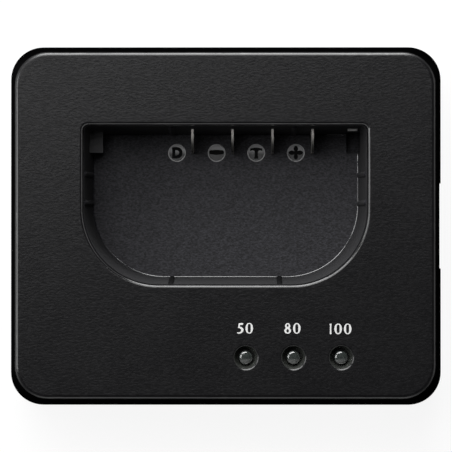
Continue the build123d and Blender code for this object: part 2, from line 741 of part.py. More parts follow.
def output_choke_core():
    """Ferrite drum with a flange at each end."""
    place = (OUTPUT_CHOKE_X, back_strip_y)
    core = post(*place, board_top_z, OUTPUT_CHOKE_NECK, OUTPUT_CHOKE_HEIGHT)
    for z in (board_top_z, board_top_z + OUTPUT_CHOKE_HEIGHT - OUTPUT_CHOKE_FLANGE):
        core += post(*place, z, OUTPUT_CHOKE_DIAMETER, OUTPUT_CHOKE_FLANGE)
    return core


def output_choke_winding():
    """Wire wound between the drum's flanges."""
    place = (OUTPUT_CHOKE_X, back_strip_y)
    low_z = board_top_z + OUTPUT_CHOKE_FLANGE + WINDING_CLEARANCE
    tall = OUTPUT_CHOKE_HEIGHT - 2 * OUTPUT_CHOKE_FLANGE - 2 * WINDING_CLEARANCE
    coil = post(*place, low_z, OUTPUT_CHOKE_DIAMETER - 2 * OUTPUT_CHOKE_SUNK, tall)
    return coil - post(*place, low_z, OUTPUT_CHOKE_NECK + 2 * WINDING_CLEARANCE, tall)


def chip_parts():
    """Two rows of small chip resistors and capacitors beside the charge controller."""
    x, y = CHARGE_CONTROLLER_PLACE
    chips = []
    for column in range(CHIP_COLUMNS):
        chip_x = x + CHIP_PITCH * (column - (CHIP_COLUMNS - 1) / 2)
        for row in (-1, 1):
            chips.append(block(chip_x, y + row * CHIP_ROW_OFFSET, board_top_z, CHIP_SIZE))
    return joined(chips)


beside_inlet_y = (INLET_WIDTH / 2 + standoff_y - STANDOFF_DIAMETER / 2) / 2
output_cans = [
    can(-side_strip_x, y, OUTPUT_CAPACITOR_DIAMETER, OUTPUT_CAPACITOR_HEIGHT)
    for y in OUTPUT_CAPACITOR_YS
]


NODES = {
    "upper_shell": upper_shell(),
    "lower_shell": lower_shell(),
    "case_screws": joined([case_screw(x, y) for x, y in bosses]),
    "main_board": main_board(),
    "board_screws": joined([board_screw(x, y) for x, y in standoffs]),
    "contact_carrier": contact_carrier(),
    "led_leads": led_leads(),
    "led_holder": led_holder(),
    "inlet_housing": inlet_housing(),
    "inlet_pins": joined([pin(y, 0) for y in pin_ys]),
    "fuse": moulded(side_strip_x, -beside_inlet_y, FUSE_SIZE),
    "x_capacitor": moulded(X_CAPACITOR_X, back_strip_y, X_CAPACITOR_SIZE),
    "line_choke_core": line_choke_core(),
    "line_choke_winding": line_choke_winding(),
    "bridge_rectifier": moulded(*BRIDGE_PLACE, BRIDGE_SIZE),
    "bulk_capacitor": can(
        side_strip_x, beside_inlet_y, BULK_CAPACITOR_DIAMETER, BULK_CAPACITOR_HEIGHT
    ),
    "switching_controller": moulded(*CONTROLLER_PLACE, CONTROLLER_SIZE),
    "transformer_core": transformer_core(),
    "transformer_bobbin": transformer_bobbin(),
    "transformer_winding": transformer_winding(),
    "y_capacitor": y_capacitor(),
    "optocoupler": moulded(*OPTOCOUPLER_PLACE, OPTOCOUPLER_SIZE),
    "output_diode": output_diode(),
    "output_capacitors": joined(output_cans),
    "output_choke_core": output_choke_core(),
    "output_choke_winding": output_choke_winding(),
    "charge_controller": moulded(*CHARGE_CONTROLLER_PLACE, CHARGE_CONTROLLER_SIZE),
    "chip_parts": chip_parts(),
}
NODES.update({name: foot(x, y) for name, (x, y) in feet().items()})
NODES.update({name: contact(x) for name, x in zip(CONTACT_NAMES, contact_xs)})
NODES.update({name: led(x) for name, x in zip(LED_NAMES, led_xs)})

os.makedirs("parts", exist_ok=True)
for name, shape in NODES.items():
    export_step(shape, f"parts/{name}.step")
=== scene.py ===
import math
from types import SimpleNamespace
import bmesh
import bpy
from mathutils import Matrix, Vector


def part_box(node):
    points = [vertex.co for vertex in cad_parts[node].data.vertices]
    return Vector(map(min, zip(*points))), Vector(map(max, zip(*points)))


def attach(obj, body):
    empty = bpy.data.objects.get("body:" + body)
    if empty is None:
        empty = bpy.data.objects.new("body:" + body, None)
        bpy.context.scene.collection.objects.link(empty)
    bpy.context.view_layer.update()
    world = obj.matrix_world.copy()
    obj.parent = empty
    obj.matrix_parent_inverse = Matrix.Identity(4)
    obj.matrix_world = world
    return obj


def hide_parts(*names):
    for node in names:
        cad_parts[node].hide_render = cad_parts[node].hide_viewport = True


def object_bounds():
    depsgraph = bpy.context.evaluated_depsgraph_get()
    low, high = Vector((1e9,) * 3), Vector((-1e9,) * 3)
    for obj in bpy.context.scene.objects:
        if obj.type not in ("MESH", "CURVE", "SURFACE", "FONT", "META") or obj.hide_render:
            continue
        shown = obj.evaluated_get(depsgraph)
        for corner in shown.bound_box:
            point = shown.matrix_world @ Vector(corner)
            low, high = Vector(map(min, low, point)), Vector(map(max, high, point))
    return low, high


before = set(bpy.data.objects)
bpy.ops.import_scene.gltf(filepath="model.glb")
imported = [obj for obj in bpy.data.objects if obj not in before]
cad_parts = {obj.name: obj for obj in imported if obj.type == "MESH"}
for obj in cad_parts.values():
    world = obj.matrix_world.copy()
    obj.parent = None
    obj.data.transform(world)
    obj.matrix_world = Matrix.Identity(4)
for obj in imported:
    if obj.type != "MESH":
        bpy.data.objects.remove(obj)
cad_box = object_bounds()

# Camera battery charger seen straight from above; metres, +Y to the back, +Z up
BODY = "root"
MM = 0.001

# Lens above the top face
IMAGE_PIXELS = 452
PIXEL = 0.2215 * MM
CAMERA_RISE = 0.740
CAMERA_OFFSET = (0.0058, -0.0056)
AIM_OFFSET = (0.00020, -0.00015)
SENSOR = 36.0
CLIP_END = 10.0

# Stage and surround
FLOOR_HALF = 1.6
FLOOR_GREY = 0.15
FLOOR_GLOW = 0.90
WORLD_GREY = 0.01
BACKDROP_GLOW = 0.95
HORIZON_GLOW = 0.72
HORIZON = (0.55, 0.10)

# Soft lamps: place, width and height, power
LAMP_AIM = (0.0, 0.0, 0.03)
LAMPS = {
    "key": ((-0.08, 0.18, 0.51), (0.42, 0.26), 1.50),
    "back": ((-0.16, 0.49, 0.38), (0.62, 0.34), 2.55),
    "low": ((-0.02, 0.60, 0.20), (0.50, 0.20), 1.55),
    "left": ((-0.50, 0.06, 0.40), (0.36, 0.30), 0.82),
}

# Numerals printed behind the lamps: the middle of each from its lamp
NUMERALS = {
    "50": (-0.135 * MM, 6.475 * MM),
    "80": (-0.215 * MM, 6.445 * MM),
    "100": (-0.155 * MM, 6.34 * MM),
}
NUMERAL_HEIGHT = 2.34 * MM
INK = 0.02 * MM

# Shapes of the numerals in numeral heights: outlines of (x, y, corner), ovals of middle and half size
NUMERAL_GAP = 0.19
NUMERAL_WIDTHS = {"0": 0.71, "1": 0.285, "5": 0.60, "8": 0.64}
ZERO_OVALS = ((0.355, 0.5, 0.355, 0.505), (0.355, 0.5, 0.145, 0.41))
ONE = [(0.00, 0.90, 1), (0.02, 0.97, 1), (0.20, 1.00, 1), (0.18, 0.50, 0), (0.20, 0.00, 1),
       (0.04, 0.00, 1), (0.055, 0.50, 0), (0.06, 0.89, 1)]
FIVE = [(0.15, 0.98, 1), (0.575, 1.00, 1), (0.545, 0.82, 1), (0.275, 0.82, 1), (0.25, 0.65, 1),
        (0.43, 0.60, 0), (0.60, 0.35, 0), (0.44, 0.08, 0), (0.12, -0.01, 0), (0.00, 0.03, 1),
        (0.00, 0.12, 1), (0.19, 0.12, 0), (0.34, 0.20, 0), (0.38, 0.34, 0), (0.29, 0.48, 0),
        (0.075, 0.53, 1)]
EIGHT = [(0.32, 1.00, 0), (0.57, 0.765, 0), (0.515, 0.535, 0), (0.64, 0.265, 0), (0.32, 0.00, 0),
         (0.00, 0.265, 0), (0.125, 0.535, 0), (0.07, 0.765, 0)]
EIGHT_HOLES = ((0.32, 0.765, 0.09, 0.13), (0.32, 0.27, 0.12, 0.165))
CURVE_STEPS = 8

# Terminal marks in the pocket floor: disc with a sunk letter inside a lip, outlines in millimetres
MARK_RADIUS = 1.80
MARK_THICKNESS = 0.16 * MM
MARK_LIP = (1.91, 0.17)
MARK_LIP_HALF = (0.14, 0.14)
MARK_LIP_STEPS = 12
MARK_FROM_BLADE = (-3.67 * MM, 0.15 * MM)
MARK_FLOOR = 14.7 * MM
LETTER_THICKNESS = 0.02 * MM
LETTER_D = [
    [(-1.16, 1.28, 1), (0.05, 1.34, 0), (0.95, 0.90, 0), (1.26, 0.06, 0), (0.95, -0.82, 0),
     (0.05, -1.26, 0), (-1.16, -1.20, 1), (-1.08, 0.06, 0)],
    [(-0.38, 0.62, 1), (0.16, 0.56, 0), (0.50, 0.06, 0), (0.16, -0.46, 0), (-0.38, -0.52, 1)],
]
LETTER_MINUS = [
    [(-1.56, 0.50, 0), (-0.90, 0.64, 0), (0.90, 0.64, 0), (1.56, 0.50, 0), (1.60, -0.12, 0),
     (0.90, -0.34, 0), (-0.90, -0.34, 0), (-1.60, -0.12, 0)],
]
LETTER_T = [
    [(-1.36, 1.02, 1), (0.00, 1.22, 0), (1.36, 1.02, 1), (1.42, 0.40, 1), (0.85, 0.58, 0),
     (0.44, 0.46, 1), (0.38, -0.40, 0), (0.50, -1.30, 1), (-0.46, -1.30, 1), (-0.34, -0.40, 0),
     (-0.40, 0.46, 1), (-0.85, 0.58, 0), (-1.42, 0.40, 1)],
]
LETTER_PLUS = [
    [(-0.34, 0.42, 1), (-0.50, 1.05, 0), (0.00, 1.64, 0), (0.50, 1.05, 0), (0.34, 0.42, 1),
     (1.00, 0.56, 0), (1.64, 0.08, 0), (1.00, -0.42, 0), (0.34, -0.34, 1), (0.46, -0.95, 0),
     (0.00, -1.50, 0), (-0.46, -0.95, 0), (-0.34, -0.34, 1), (-1.00, -0.42, 0), (-1.64, 0.08, 0),
     (-1.00, 0.56, 0)],
]
MARKS = {"data": LETTER_D, "minus": LETTER_MINUS, "temperature": LETTER_T, "plus": LETTER_PLUS}

# Lamps: resin lens, and the cup, die and bond wire inside it; (radius, height) in millimetres
LAMP_NAMES = ("led_50", "led_80", "led_100")
LENS_RADIUS = 1.5
LENS_FLANGE = 1.0
LENS_RISE = 0.66
LENS_STEPS = 12
CUP_DEPTH = 2.3
CUP = [(0.0, -0.60), (0.40, -0.60), (0.78, -0.10), (0.78, 0.0), (0.72, 0.0), (0.46, -0.40),
       (0.0, -0.40)]
DIE = [(0.0, -0.40), (0.25, -0.40), (0.25, -0.28), (0.21, -0.24), (0.0, -0.24)]
DIE_SIDES = 4
WIRE = [(0.0, -0.24), (0.25, 0.18), (0.62, 0.20), (0.95, -0.05)]
WIRE_RADIUS = 0.02
LATHE_STEPS = 48
SHARP_ANGLE = math.radians(35.0)
SAME_POINT = 0.0001 * MM

# Faces of the case by the rise of their normals: where each kind starts and where it is full
FLAT_RISE = (0.93, 0.995)
STEEP_RISE = (0.85, 0.45)
UPRIGHT_RISE = (0.30, 0.12)

# Zones of the case: a box's middle and half size, or where the zone starts and where it is full
POCKET_MIDDLE = (0.0, 4.555 * MM)
POCKET_HALF = (32.6 * MM, 18.8 * MM)
POCKET_Z = (31.2 * MM, 29.0 * MM)
POST_Z = (16.6 * MM, 17.0 * MM)
KEYWAY_MIDDLE = (27.0 * MM, 21.5 * MM)
KEYWAY_HALF = (4.0 * MM, 3.0 * MM)
FRONT_RIB = (12.1 * MM, -12.6 * MM)
FRONT_RIB_HALF = (0.60 * MM, 1.8 * MM)
FLOOR_EDGE = {"X": (-29.0 * MM, -24.0 * MM), "Y": (20.0 * MM, 18.0 * MM), "Z": (16.6 * MM, 16.0 * MM)}
RIM_LEFT_X = (-27.0 * MM, -30.0 * MM)
RIM_BACK_Y = (18.0 * MM, 21.0 * MM)
RIGHT_EDGE_X = (42.0 * MM, 45.0 * MM)
CORNER_X = (39.0 * MM, 45.0 * MM)
CORNER_Y = (31.0 * MM, 37.0 * MM)
BACK_SHADE_Y = (35.0 * MM, 38.5 * MM)
WELL_HALF = 3.2 * MM
WELL_GLOW_Z = (31.4 * MM, 30.0 * MM)

# Noises: stretch on each axis, scale, detail, roughness
EVEN = (1.0, 1.0, 1.0)
GRAIN = ((0.56, 1.0, 1.0), 2550.0, 2.0, 0.55)
SAND = ((0.58, 1.0, 1.0), 3300.0, 3.0, 0.7)
CLOUD = (EVEN, 90.0, 3.0, 0.5)
STREAK = ((1.0, 0.2, 1.0), 3000.0, 2.0, 0.5)
HAZE = (EVEN, 700.0, 2.0, 0.5)
MOTTLE_DETAIL = 3.0

# Parts of the noises' range that are used
GRAIN_RANGE = (0.30, 0.70)
SAND_RANGE = (0.30, 0.80)
CLOUD_RANGE = (0.3, 0.7)
MOTTLE_RANGE = (0.2, 0.8)

# Colours of the case plastic; pairs go from low to high grain, from front to back or down a well
TOP_COLOURS = ((0.0068, 0.0068, 0.0074), (0.0104, 0.0103, 0.0112))
POCKET_COLOURS = ((0.0075, 0.0074, 0.0086), (0.0520, 0.0516, 0.0600))
# Side colour, then the darker back side, which is painted shade
SIDE_AND_SHADE_COLOURS = ((0.0042, 0.0042, 0.0044), (0.0014, 0.0014, 0.0015))
# Well colour, lighter further down as painted light from light passed through the lens
WELL_GLOW_COLOURS = ((0.0440, 0.0465, 0.0430), (0.0620, 0.0660, 0.0600))
# Lighter top of the key post: painted light
POST_LIGHT_COLOUR = (0.0420, 0.0420, 0.0440)
POCKET_WALL_COLOUR = (0.0440, 0.0440, 0.0460)
# Pale top of the stop above the keyway: a painted highlight
STOP_HIGHLIGHT_COLOUR = (0.4000, 0.4000, 0.4000)
# Darker front ribs: painted shade
RIB_SHADE_COLOUR = (0.0100, 0.0100, 0.0105)

# Specular level of the case plastic, where 0.5 is plain
CASE_IOR = 1.8
TOP_GLOSS = (0.063, 0.085)
FILLET_GLOSS = 0.49
FLOOR_EDGE_GLOSS = 1.0
FAR_RIM_GLOSS = 0.75
RIGHT_EDGE_GLOSS = 0.30
CORNER_GLOSS = 0.08
WELL_GLOSS = 0.40
POCKET_WALL_GLOSS = 0.025
POCKET_FLOOR_GLOSS = 0.245
SIDE_GLOSS = 0.14
SIDE_GLANCE = (0.70, 0.86)

# Roughness of the case plastic, and depth of its grain on top and in the pocket
TOP_ROUGHNESS = (0.2852, 0.3348)
FILLET_ROUGHNESS = 0.14
FLOOR_EDGE_ROUGHNESS = 0.09
CORNER_ROUGHNESS = 0.40
POCKET_ROUGHNESS = 0.85
SIDE_ROUGHNESS = 0.50
GRAIN_DEPTH = (0.043 * MM, 0.11 * MM)

# Finish of the blades: a painted dark reflection from the back to the nose, partly on the sides
BLADE_DARK_Y = (21.8 * MM, 18.0 * MM)
BLADE_TOP_RISE = (0.05, 0.30)
BLADE_SIDE_SHARE = 0.70
BLADE_BRIGHT = ((0.88, 0.86, 0.82), (0.97, 0.95, 0.91))
# Colour of the painted dark reflection on the blades
BLADE_DARK_REFLECTION = ((0.05, 0.049, 0.047), (0.08, 0.079, 0.076))
BLADE_ROUGHNESS = (0.64, 0.80)

# Finish of the marks, paler at the back as painted light, and of the lenses, paler at the front as a
# painted glow
MARK_SCALE = 1800.0
MARK_LIGHT_Y = (-0.5 * MM, 0.7 * MM)
# Disc colour at the front, then the paler back, which is painted light
MARK_COLOURS = ((0.019, 0.019, 0.021), (0.250, 0.250, 0.255))
MARK_ROUGHNESS = (0.36, 0.48)
LENS_GLOW_Y = (-0.1 * MM, -0.9 * MM)
LENS_COLOURS = ((0.17, 0.205, 0.19), (0.205, 0.24, 0.225))
# Pale front of the lenses: a painted glow
LENS_GLOW = (0.97, 1.0, 0.98)

# Relief and spread of roughness of a plain finish
FINE_RELIEF = 0.01 * MM
ROUGHNESS_SPREAD = 0.15


def add(tree, kind, inputs=None, **settings):
    """New shader node with settings and inputs, each a socket to link or a plain value."""
    node = tree.nodes.new(kind)
    for name, value in settings.items():
        setattr(node, name, value)
    set_inputs(tree, node, inputs or {})
    return node


def set_inputs(tree, node, inputs):
    """Sets a node's inputs, each a socket to link or a plain value."""
    for key, value in inputs.items():
        if isinstance(value, bpy.types.NodeSocket):
            tree.links.new(value, node.inputs[key])
        else:
            node.inputs[key].default_value = value


def maths(tree, operation, first, second=0.0, clamp=False):
    """One sum on two values."""
    node = add(tree, "ShaderNodeMath", {0: first, 1: second}, operation=operation, use_clamp=clamp)
    return node.outputs[0]


def product(tree, first, *others):
    """Values multiplied together."""
    for other in others:
        first = maths(tree, "MULTIPLY", first, other)
    return first


def outside(tree, mask):
    """One where a mask is zero."""
    return maths(tree, "SUBTRACT", 1.0, mask)


def between(tree, value, low, high, start=0.0, end=1.0):
    """Smooth change from start to end while a value goes from low to high."""
    node = add(
        tree,
        "ShaderNodeMapRange",
        {"Value": value, "From Min": low, "From Max": high, "To Min": start, "To Max": end},
        interpolation_type="SMOOTHSTEP",
    )
    return node.outputs["Result"]


def colour_mix(tree, factor, first, second):
    """Colour between two others."""
    node = add(tree, "ShaderNodeMix", data_type="RGBA")
    for socket, value in (("Factor_Float", factor), ("A_Color", first), ("B_Color", second)):
        target = next(s for s in node.inputs if s.identifier == socket)
        if isinstance(value, bpy.types.NodeSocket):
            tree.links.new(value, target)
        else:
            target.default_value = (*value, 1.0)
    return next(s for s in node.outputs if s.identifier == "Result_Color")


def value_mix(tree, factor, first, second):
    """Number between two others."""
    node = add(tree, "ShaderNodeMix", {"Factor": factor, "A": first, "B": second})
    return node.outputs["Result"]


def split(tree, source):
    """X, Y and Z of the object's coordinates or normal."""
    vector = add(tree, "ShaderNodeTexCoord").outputs[source]
    return add(tree, "ShaderNodeSeparateXYZ", {0: vector}).outputs


def plan_box(tree, place, middle, half):
    """One inside a box seen from above, zero outside it."""
    inside = 1.0
    for axis, centre, reach in zip("XY", middle, half):
        away = maths(tree, "ABSOLUTE", maths(tree, "SUBTRACT", place[axis], centre))
        inside = product(tree, inside, maths(tree, "LESS_THAN", away, reach))
    return inside


def noise(tree, stretch, scale, detail, roughness=0.5):
    """Fractal noise value."""
    place = add(tree, "ShaderNodeTexCoord").outputs["Object"]
    vector = add(tree, "ShaderNodeMapping", {"Vector": place, "Scale": stretch}).outputs["Vector"]
    inputs = {"Vector": vector, "Scale": scale, "Detail": detail, "Roughness": roughness}
    return add(tree, "ShaderNodeTexNoise", inputs).outputs["Fac"]


def bump(tree, height, distance):
    """Normal from a height."""
    return add(tree, "ShaderNodeBump", {"Height": height, "Distance": distance}).outputs["Normal"]


def new_material(name):
    """Material with its node tree and Principled shader."""
    material = bpy.data.materials.new(name)
    material.use_nodes = True
    tree = material.node_tree
    return material, tree, tree.nodes["Principled BSDF"]


def case_zones(tree):
    """Masks of the case's faces and zones, and the place on it."""
    place = split(tree, "Object")
    rise = split(tree, "Normal")["Z"]
    zone = SimpleNamespace(place=place)
    zone.flat = between(tree, rise, *FLAT_RISE)
    zone.upright = between(tree, rise, *UPRIGHT_RISE)
    steep = between(tree, rise, *STEEP_RISE)
    zone.inside = plan_box(tree, place, POCKET_MIDDLE, POCKET_HALF)
    zone.pocket = product(tree, zone.inside, between(tree, place["Z"], *POCKET_Z))
    zone.keyway = plan_box(tree, place, KEYWAY_MIDDLE, KEYWAY_HALF)
    low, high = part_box(LAMP_NAMES[0])[0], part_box(LAMP_NAMES[-1])[1]
    row_half = ((high[0] - low[0]) / 2 + WELL_HALF, WELL_HALF)
    zone.lamp_row = plan_box(tree, place, plan_middle(low, high), row_half)
    zone.wells = product(tree, zone.lamp_row, steep)
    outer = maths(tree, "SUBTRACT", outside(tree, zone.inside), zone.wells, clamp=True)
    zone.side = product(tree, steep, outer)
    far_x = between(tree, maths(tree, "ABSOLUTE", place["X"]), *CORNER_X)
    far_y = between(tree, maths(tree, "ABSOLUTE", place["Y"]), *CORNER_Y)
    zone.corner = product(tree, far_x, far_y)
    zone.matt = product(tree, zone.pocket, plain_pocket(tree, zone))
    return zone


def plain_pocket(tree, zone):
    """One on the pocket's flat and upright faces, and on its fillets away from the polished ones."""
    reaches = [between(tree, zone.place[axis], *reach) for axis, reach in FLOOR_EDGE.items()]
    polished = maths(tree, "ADD", product(tree, *reaches), zone.keyway, clamp=True)
    faces = maths(tree, "ADD", zone.flat, zone.upright)
    return maths(tree, "ADD", faces, outside(tree, polished), clamp=True)


def pocket_colour(tree, zone):
    """Sandy pocket floor and the colours of its walls, with a lighter post top and a pale stop top as
    painted light, and darkened front ribs as painted shade.
    """
    place = zone.place
    sand = between(tree, noise(tree, *SAND), *SAND_RANGE)
    colour = colour_mix(tree, sand, *POCKET_COLOURS)
    raised = product(tree, zone.flat, between(tree, place["Z"], *POST_Z))
    # Lighter post top: painted light
    colour = colour_mix(tree, raised, colour, POST_LIGHT_COLOUR)
    colour = colour_mix(tree, zone.upright, colour, POCKET_WALL_COLOUR)
    # Pale top of the stop: painted highlight
    colour = colour_mix(tree, product(tree, raised, zone.keyway), colour, STOP_HIGHLIGHT_COLOUR)
    # Front ribs darkened: painted shade
    both_sides = {"X": maths(tree, "ABSOLUTE", place["X"]), "Y": place["Y"]}
    ribs = plan_box(tree, both_sides, FRONT_RIB, FRONT_RIB_HALF)
    return colour_mix(tree, product(tree, ribs, outside(tree, zone.flat)), colour, RIB_SHADE_COLOUR)


def case_colour(tree, zone, grain):
    """Speckled top, pocket, dark sides that darken further at the back as painted shade, and lamp
    wells that lighten further down as painted light.
    """
    colour = colour_mix(tree, between(tree, grain, *GRAIN_RANGE), *TOP_COLOURS)
    colour = colour_mix(tree, zone.pocket, colour, pocket_colour(tree, zone))
    # Sides darken towards the back: painted shade
    sides = colour_mix(tree, between(tree, zone.place["Y"], *BACK_SHADE_Y), *SIDE_AND_SHADE_COLOURS)
    colour = colour_mix(tree, zone.side, colour, sides)
    # Wells lighten further down: painted light
    wells = colour_mix(tree, between(tree, zone.place["Z"], *WELL_GLOW_Z), *WELL_GLOW_COLOURS)
    return colour_mix(tree, zone.wells, colour, wells)


def case_gloss(tree, zone, grain):
    """Glossy fillets, satin top and sides, which lose their gloss at a glance, and matt pocket."""
    place = zone.place
    left_rim = between(tree, place["X"], *RIM_LEFT_X)
    back_rim = between(tree, place["Y"], *RIM_BACK_Y)
    far_rim = product(tree, maths(tree, "MAXIMUM", left_rim, back_rim), zone.inside)
    right_edge = between(tree, place["X"], *RIGHT_EDGE_X)
    gloss = value_mix(tree, zone.pocket, FILLET_GLOSS, FLOOR_EDGE_GLOSS)
    gloss = value_mix(tree, far_rim, gloss, FAR_RIM_GLOSS)
    gloss = value_mix(tree, right_edge, gloss, RIGHT_EDGE_GLOSS)
    gloss = value_mix(tree, zone.corner, gloss, CORNER_GLOSS)
    gloss = value_mix(tree, zone.lamp_row, gloss, WELL_GLOSS)
    gloss = value_mix(tree, zone.flat, gloss, between(tree, grain, *GRAIN_RANGE, *TOP_GLOSS))
    pocket = value_mix(tree, zone.flat, POCKET_WALL_GLOSS, POCKET_FLOOR_GLOSS)
    gloss = value_mix(tree, zone.matt, gloss, pocket)
    facing = add(tree, "ShaderNodeLayerWeight").outputs["Facing"]
    satin = product(tree, zone.upright, between(tree, facing, *SIDE_GLANCE, SIDE_GLOSS, 0.0))
    return value_mix(tree, zone.side, gloss, satin)


def case_roughness(tree, zone):
    """Smooth fillets, slightly uneven top, rougher sides and pocket."""
    fillet = value_mix(tree, zone.pocket, FILLET_ROUGHNESS, FLOOR_EDGE_ROUGHNESS)
    fillet = value_mix(tree, zone.corner, fillet, CORNER_ROUGHNESS)
    top = between(tree, noise(tree, *CLOUD), *CLOUD_RANGE, *TOP_ROUGHNESS)
    roughness = value_mix(tree, zone.flat, fillet, top)
    roughness = value_mix(tree, zone.matt, roughness, POCKET_ROUGHNESS)
    return value_mix(tree, zone.side, roughness, SIDE_ROUGHNESS)


def case_relief(tree, zone, grain):
    """Grain of the flat faces and of the sides, as heights in metres."""
    grained = maths(tree, "ADD", zone.flat, product(tree, zone.side, zone.upright), clamp=True)
    depth = value_mix(tree, zone.pocket, *GRAIN_DEPTH)
    return bump(tree, product(tree, grain, grained, depth), 1.0)


def case_plastic():
    """Black moulded plastic: grained top, sandy pocket, satin sides."""
    material, tree, shader = new_material("case_plastic_moulded")
    zone = case_zones(tree)
    grain = noise(tree, *GRAIN)
    set_inputs(tree, shader, {
        "Base Color": case_colour(tree, zone, grain),
        "Roughness": case_roughness(tree, zone),
        "IOR": CASE_IOR,
        "Specular IOR Level": case_gloss(tree, zone, grain),
        "Normal": case_relief(tree, zone, grain),
    })
    return material


def mottled(name, colour, roughness, metallic=0.0, scale=500.0, contrast=0.12, relief=FINE_RELIEF,
            gloss=0.5):
    """Moulded, plated, printed or wound finish with a slight mottle and relief."""
    material, tree, shader = new_material(name)
    mottle = noise(tree, EVEN, scale, MOTTLE_DETAIL)
    dark = tuple(channel * (1.0 - contrast) for channel in colour)
    light = tuple(min(1.0, channel * (1.0 + contrast)) for channel in colour)
    smooth = roughness * (1.0 - ROUGHNESS_SPREAD)
    rough = roughness * (1.0 + ROUGHNESS_SPREAD)
    set_inputs(tree, shader, {
        "Base Color": colour_mix(tree, mottle, dark, light),
        "Roughness": between(tree, mottle, *MOTTLE_RANGE, smooth, rough),
        "Metallic": metallic,
        "Specular IOR Level": gloss,
        "Normal": bump(tree, mottle, relief),
    })
    return material


def contact_nickel():
    """Satin nickel of the blades, darker towards the nose as a painted dark reflection."""
    material, tree, shader = new_material("contact_nickel")
    streak = noise(tree, *STREAK)
    share = between(tree, split(tree, "Normal")["Z"], *BLADE_TOP_RISE, BLADE_SIDE_SHARE, 1.0)
    painted_dark = product(tree, share, between(tree, split(tree, "Object")["Y"], *BLADE_DARK_Y))
    bright = colour_mix(tree, streak, *BLADE_BRIGHT)
    dark_reflection = colour_mix(tree, streak, *BLADE_DARK_REFLECTION)
    set_inputs(tree, shader, {
        "Base Color": colour_mix(tree, painted_dark, bright, dark_reflection),
        "Roughness": between(tree, streak, *MOTTLE_RANGE, *BLADE_ROUGHNESS),
        "Metallic": 1.0,
        "Normal": bump(tree, streak, FINE_RELIEF),
    })
    return material


def mark_plastic():
    """Bare plastic of the marks, with the back edge paler as painted light."""
    material, tree, shader = new_material("mark_disc")
    pale = between(tree, split(tree, "Object")["Y"], *MARK_LIGHT_Y)
    mottle = noise(tree, EVEN, MARK_SCALE, MOTTLE_DETAIL)
    set_inputs(tree, shader, {
        "Base Color": colour_mix(tree, pale, *MARK_COLOURS),
        "Roughness": between(tree, mottle, *MOTTLE_RANGE, *MARK_ROUGHNESS),
        "Normal": bump(tree, mottle, FINE_RELIEF),
    })
    return material


def lens_resin():
    """Clear resin of the lamps, faintly green and hazy inside a smooth skin, paler at the front as a
    painted glow.
    """
    material, tree, shader = new_material("lamp_resin")
    pale = between(tree, split(tree, "Object")["Y"], *LENS_GLOW_Y)
    tint = colour_mix(tree, noise(tree, *HAZE), *LENS_COLOURS)
    set_inputs(tree, shader, {
        "Base Color": colour_mix(tree, pale, tint, LENS_GLOW),
        "Roughness": 0.16,
        "IOR": 1.5,
        "Transmission Weight": 0.65,
        "Coat Weight": 1.0,
        "Coat Roughness": 0.03,
        "Coat IOR": 2.3,
    })
    return material


def floor_material():
    """Pale floor that the lens and mirrors see as white, with the object's shadow on it."""
    material, tree, shader = new_material("stage_floor")
    tree.nodes.remove(shader)
    path = add(tree, "ShaderNodeLightPath").outputs
    mirrored = maths(tree, "ADD", path["Is Glossy Ray"], path["Is Transmission Ray"])
    seen = maths(tree, "ADD", path["Is Camera Ray"], mirrored, clamp=True)
    glow = add(tree, "ShaderNodeEmission", {"Strength": product(tree, seen, FLOOR_GLOW)})
    matt = add(tree, "ShaderNodeBsdfDiffuse", {"Color": (FLOOR_GREY, FLOOR_GREY, FLOOR_GREY, 1.0)})
    both = add(tree, "ShaderNodeAddShader", {0: glow.outputs[0], 1: matt.outputs[0]})
    tree.links.new(both.outputs[0], tree.nodes["Material Output"].inputs["Surface"])
    return material


def plan_middle(low, high):
    """Middle of a box seen from above."""
    return (low[0] + high[0]) / 2, (low[1] + high[1]) / 2


def link(name, data):
    """New object in the scene."""
    thing = bpy.data.objects.new(name, data)
    bpy.context.scene.collection.objects.link(thing)
    return thing


def ring(x, y, across, tall):
    """Outline of an upright oval."""
    return [(x + across, y, 0), (x, y + tall, 0), (x - across, y, 0), (x, y - tall, 0)]


def numeral(character):
    """Outlines of a numeral."""
    if character == "0":
        return [ring(*oval) for oval in ZERO_OVALS]
    if character == "8":
        return [EIGHT] + [ring(*oval) for oval in EIGHT_HOLES]
    return [FIVE if character == "5" else ONE]


def flat_curve(name, outlines, size, thickness):
    """Filled flat curve from closed outlines, half its thickness above and below its origin."""
    curve = bpy.data.curves.new(name, "CURVE")
    curve.dimensions = "2D"
    curve.fill_mode = "BOTH"
    curve.resolution_u = CURVE_STEPS
    curve.extrude = thickness / 2
    for outline in outlines:
        spline = curve.splines.new("BEZIER")
        spline.bezier_points.add(len(outline) - 1)
        spline.use_cyclic_u = True
        for point, (x, y, _) in zip(spline.bezier_points, outline):
            point.co = (x * size, y * size, 0.0)
        for point, (_, _, corner) in zip(spline.bezier_points, outline):
            kind = "VECTOR" if corner else "AUTO"
            point.handle_left_type = kind
            point.handle_right_type = kind
    return curve


def place_piece(name, data, place, material):
    """New piece of the object with its place, finish and body."""
    data.materials.append(material)
    piece = link(name, data)
    piece.location = place
    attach(piece, BODY)
    return piece


def moved(outlines, x):
    """Outlines moved to the right."""
    return [[(px + x, py, corner) for px, py, corner in outline] for outline in outlines]


